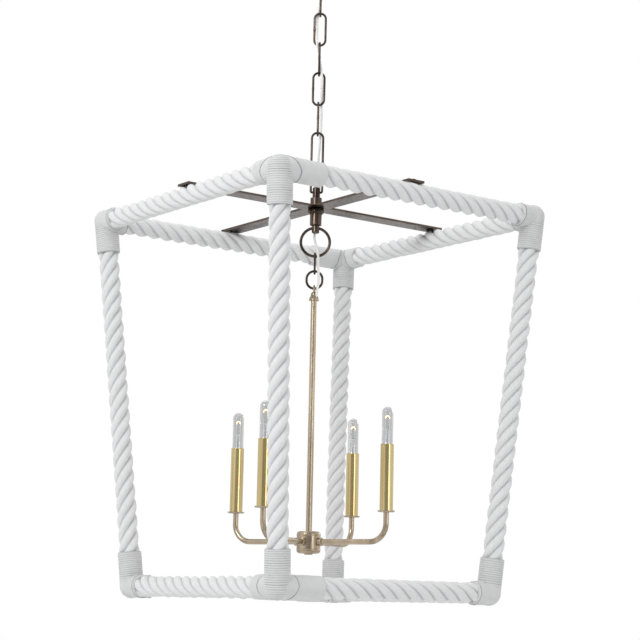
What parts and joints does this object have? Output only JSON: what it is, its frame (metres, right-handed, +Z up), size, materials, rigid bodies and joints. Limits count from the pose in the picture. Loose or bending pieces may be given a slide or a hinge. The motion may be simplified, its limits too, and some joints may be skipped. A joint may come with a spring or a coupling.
{
  "type": "hanging lantern",
  "caption": "Square open cage of thick white rope tapering downwards, hung from a canopy by a bronze chain, with a brass candelabra cluster inside.",
  "frame": {"origin": "centre of the ceiling face, between the two box screw holes", "axes": "+Z up; the cage's sides run along X and Y; the chain is turned 36.5 degrees from X towards -Y"},
  "size_m": [0.6021, 0.6022, 1.2146],
  "materials": {
    "antique_bronze": "dark antique bronze, satin with worn edges",
    "champagne_brass": "antique champagne brass, satin",
    "polished_brass": "polished",
    "rope": "soft laid cotton rope",
    "whipping": "tightly wound cotton twine",
    "plated_steel": "zinc plated",
    "socket_plastic": "matt phenolic",
    "bulb_metal": "drawn, bright",
    "bulb_glass": "clear",
    "cord_sleeve": "smooth"
  },
  "bodies": {
    "ceiling": {"ceiling_crossbar": "plated_steel", "threaded_nipple": "plated_steel", "lock_nut": "plated_steel", "canopy": "antique_bronze", "canopy_ring_nut": "antique_bronze", "canopy_loop": "antique_bronze"},
    "chain_1": {"chain_link_1": "antique_bronze"},
    "chain_2": {"chain_link_2": "antique_bronze"},
    "chain_3": {"chain_link_3": "antique_bronze"},
    "chain_4": {"chain_link_4": "antique_bronze"},
    "chain_5": {"chain_link_5": "antique_bronze"},
    "connector": {"connector_link": "antique_bronze"},
    "cage": {"hanger_stem": "antique_bronze", "stem_collar": "antique_bronze", "cross_bar_x": "antique_bronze", "cross_bar_y": "antique_bronze", "bar_screws": "antique_bronze", "frame_core": "plated_steel", "top_rope_front_right": "rope", "top_rope_right_back": "rope", "top_rope_back_left": "rope", "top_rope_left_front": "rope", "bottom_rope_front_right": "rope", "bottom_rope_right_back": "rope", "bottom_rope_back_left": "rope", "bottom_rope_left_front": "rope", "leg_rope_front": "rope", "leg_rope_right": "rope", "leg_rope_back": "rope", "leg_rope_left": "rope", "top_corner_wraps": "whipping", "bottom_corner_wraps": "whipping", "cord_upper": "cord_sleeve", "cord_lower": "cord_sleeve"},
    "ring": {"hanging_ring": "antique_bronze"},
    "small_link": {"small_link": "antique_bronze"},
    "small_ring": {"small_ring": "antique_bronze"},
    "cluster": {"rod_finial": "antique_bronze", "drop_rod": "champagne_brass", "hub": "champagne_brass", "hub_cap": "champagne_brass", "cap_nut": "champagne_brass", "arms": "champagne_brass", "arm_ferrules": "champagne_brass", "drip_cups": "champagne_brass", "candle_sleeve_1": "polished_brass", "candle_sleeve_2": "polished_brass", "candle_sleeve_3": "polished_brass", "candle_sleeve_4": "polished_brass", "lamp_sockets": "socket_plastic"},
    "bulb_1": {"bulb_base_1": "bulb_metal", "bulb_glass_1": "bulb_glass"},
    "bulb_2": {"bulb_base_2": "bulb_metal", "bulb_glass_2": "bulb_glass"},
    "bulb_3": {"bulb_base_3": "bulb_metal", "bulb_glass_3": "bulb_glass"},
    "bulb_4": {"bulb_base_4": "bulb_metal", "bulb_glass_4": "bulb_glass"}
  },
  "joints": [
    {"name": "link_1_swing", "type": "hinge", "parent": "ceiling", "child": "chain_1", "pos_m": [0, 0, -0.077], "axis": [0.8039, -0.5948, 0], "range_deg": [-30, 30]},
    {"name": "link_2_swing", "type": "hinge", "parent": "chain_1", "child": "chain_2", "pos_m": [0, 0, -0.1339], "axis": [0.5948, 0.8039, 0], "range_deg": [-30, 30]},
    {"name": "link_3_swing", "type": "hinge", "parent": "chain_2", "child": "chain_3", "pos_m": [0, 0, -0.1912], "axis": [-0.8039, 0.5948, 0], "range_deg": [-30, 30]},
    {"name": "link_4_swing", "type": "hinge", "parent": "chain_3", "child": "chain_4", "pos_m": [0, 0, -0.2485], "axis": [-0.5948, -0.8039, 0], "range_deg": [-30, 30]},
    {"name": "link_5_swing", "type": "hinge", "parent": "chain_4", "child": "chain_5", "pos_m": [0, 0, -0.3058], "axis": [0.8039, -0.5948, 0], "range_deg": [-30, 30]},
    {"name": "connector_swing", "type": "hinge", "parent": "chain_5", "child": "connector", "pos_m": [0, 0, -0.3631], "axis": [0.5948, 0.8039, 0], "range_deg": [-20, 20]},
    {"name": "cage_swing", "type": "hinge", "parent": "connector", "child": "cage", "pos_m": [0, 0, -0.4714], "axis": [-0.8039, 0.5948, 0], "range_deg": [-30, 30], "deforming": ["cord_upper"]},
    {"name": "ring_swing", "type": "hinge", "parent": "cage", "child": "ring", "pos_m": [0, 0, -0.5384], "axis": [0.8039, -0.5948, 0], "range_deg": [-12, 12], "deforming": ["cord_lower"]},
    {"name": "small_link_swing", "type": "hinge", "parent": "ring", "child": "small_link", "pos_m": [0, 0, -0.59073], "axis": [-0.8039, 0.5948, 0], "range_deg": [-12, 12]},
    {"name": "small_ring_swing", "type": "hinge", "parent": "small_link", "child": "small_ring", "pos_m": [0, 0, -0.62283], "axis": [0.5948, 0.8039, 0], "range_deg": [-12, 12]},
    {"name": "cluster_swing", "type": "hinge", "parent": "small_ring", "child": "cluster", "pos_m": [0, 0, -0.65043], "axis": [0.8039, -0.5948, 0], "range_deg": [-12, 12]},
    {"name": "bulb_1_release", "type": "slide", "parent": "cluster", "child": "bulb_1", "axis": [0, 0, 1], "range_m": [0, 0.028]},
    {"name": "bulb_2_release", "type": "slide", "parent": "cluster", "child": "bulb_2", "axis": [0, 0, 1], "range_m": [0, 0.028]},
    {"name": "bulb_3_release", "type": "slide", "parent": "cluster", "child": "bulb_3", "axis": [0, 0, 1], "range_m": [0, 0.028]},
    {"name": "bulb_4_release", "type": "slide", "parent": "cluster", "child": "bulb_4", "axis": [0, 0, 1], "range_m": [0, 0.028]}
  ]
}
